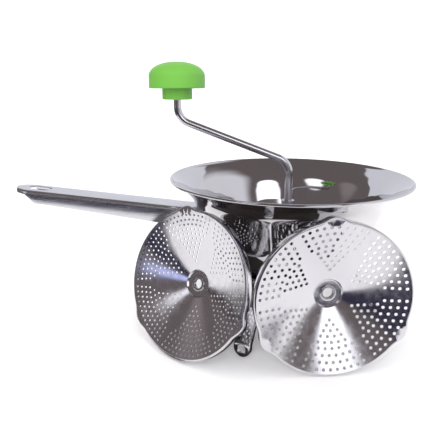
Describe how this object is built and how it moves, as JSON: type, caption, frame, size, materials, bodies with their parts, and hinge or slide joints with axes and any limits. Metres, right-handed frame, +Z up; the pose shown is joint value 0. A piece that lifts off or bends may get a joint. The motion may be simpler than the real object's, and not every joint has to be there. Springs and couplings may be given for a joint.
{
  "type": "rotary food mill with spare discs",
  "caption": "Flared steel food mill on legs with a channel handle, a cranked rod with a green knob, a sieve disc and spare discs leaning on the bowl.",
  "frame": {"origin": "on the floor, at the middle of the whole set's bounding box", "axes": "+Z up along the crank axis, -X along the handle, -Y towards the spare discs"},
  "size_m": [0.395, 0.245, 0.262],
  "materials": {
    "polished_steel": "bright polished stainless steel",
    "satin_steel": "satin stainless steel",
    "spring_steel": "plain spring steel",
    "green_plastic": "lime green moulded plastic, soft gloss"
  },
  "bodies": {
    "mill": {"bowl": "polished_steel", "handle": "satin_steel", "handle_bracket": "satin_steel", "leg_right": "polished_steel", "leg_back": "polished_steel", "leg_front": "polished_steel", "disc_coarse": "polished_steel", "hub_bush_coarse": "satin_steel"},
    "scraper": {"scraper_arm": "satin_steel", "scraper_hub": "satin_steel", "spring": "spring_steel"},
    "crank": {"crank_rod": "satin_steel", "blade": "satin_steel", "blade_hub": "satin_steel", "spring_washer": "satin_steel"},
    "nut": {"wing_nut": "satin_steel"},
    "knob": {"knob_cap": "green_plastic", "knob_neck": "green_plastic", "knob_push_nut": "spring_steel"},
    "spare_medium": {"disc_medium": "polished_steel", "hub_bush_medium": "satin_steel"},
    "spare_fine": {"disc_fine": "polished_steel", "hub_bush_fine": "satin_steel"}
  },
  "joints": [
    {"name": "crank_turn", "type": "hinge", "parent": "mill", "child": "scraper", "pos_m": [0.0775, 0.00246, 0.072], "axis": [0, 0, 1], "continuous": true},
    {"name": "crank_lift", "type": "slide", "parent": "scraper", "child": "crank", "axis": [0, 0, 1], "range_m": [0, 0.004], "stiffness_N_per_m": 900, "springref_m": -0.004, "deforming": ["spring"]},
    {"name": "nut_turn", "type": "hinge", "parent": "crank", "child": "nut", "pos_m": [0.0775, 0.00246, 0.034], "axis": [0, 0, 1], "continuous": true},
    {"name": "knob_spin", "type": "hinge", "parent": "crank", "child": "knob", "pos_m": [-0.0335, 0.00246, 0.24], "axis": [0, 0, 1], "continuous": true},
    {"name": "medium_disc_lift", "type": "slide", "parent": "mill", "child": "spare_medium", "axis": [0.0767, -0.7963, 0.6], "range_m": [0, 0.15]},
    {"name": "fine_disc_lift", "type": "slide", "parent": "mill", "child": "spare_fine", "axis": [-0.5132, -0.6137, 0.6], "range_m": [0, 0.15]}
  ]
}
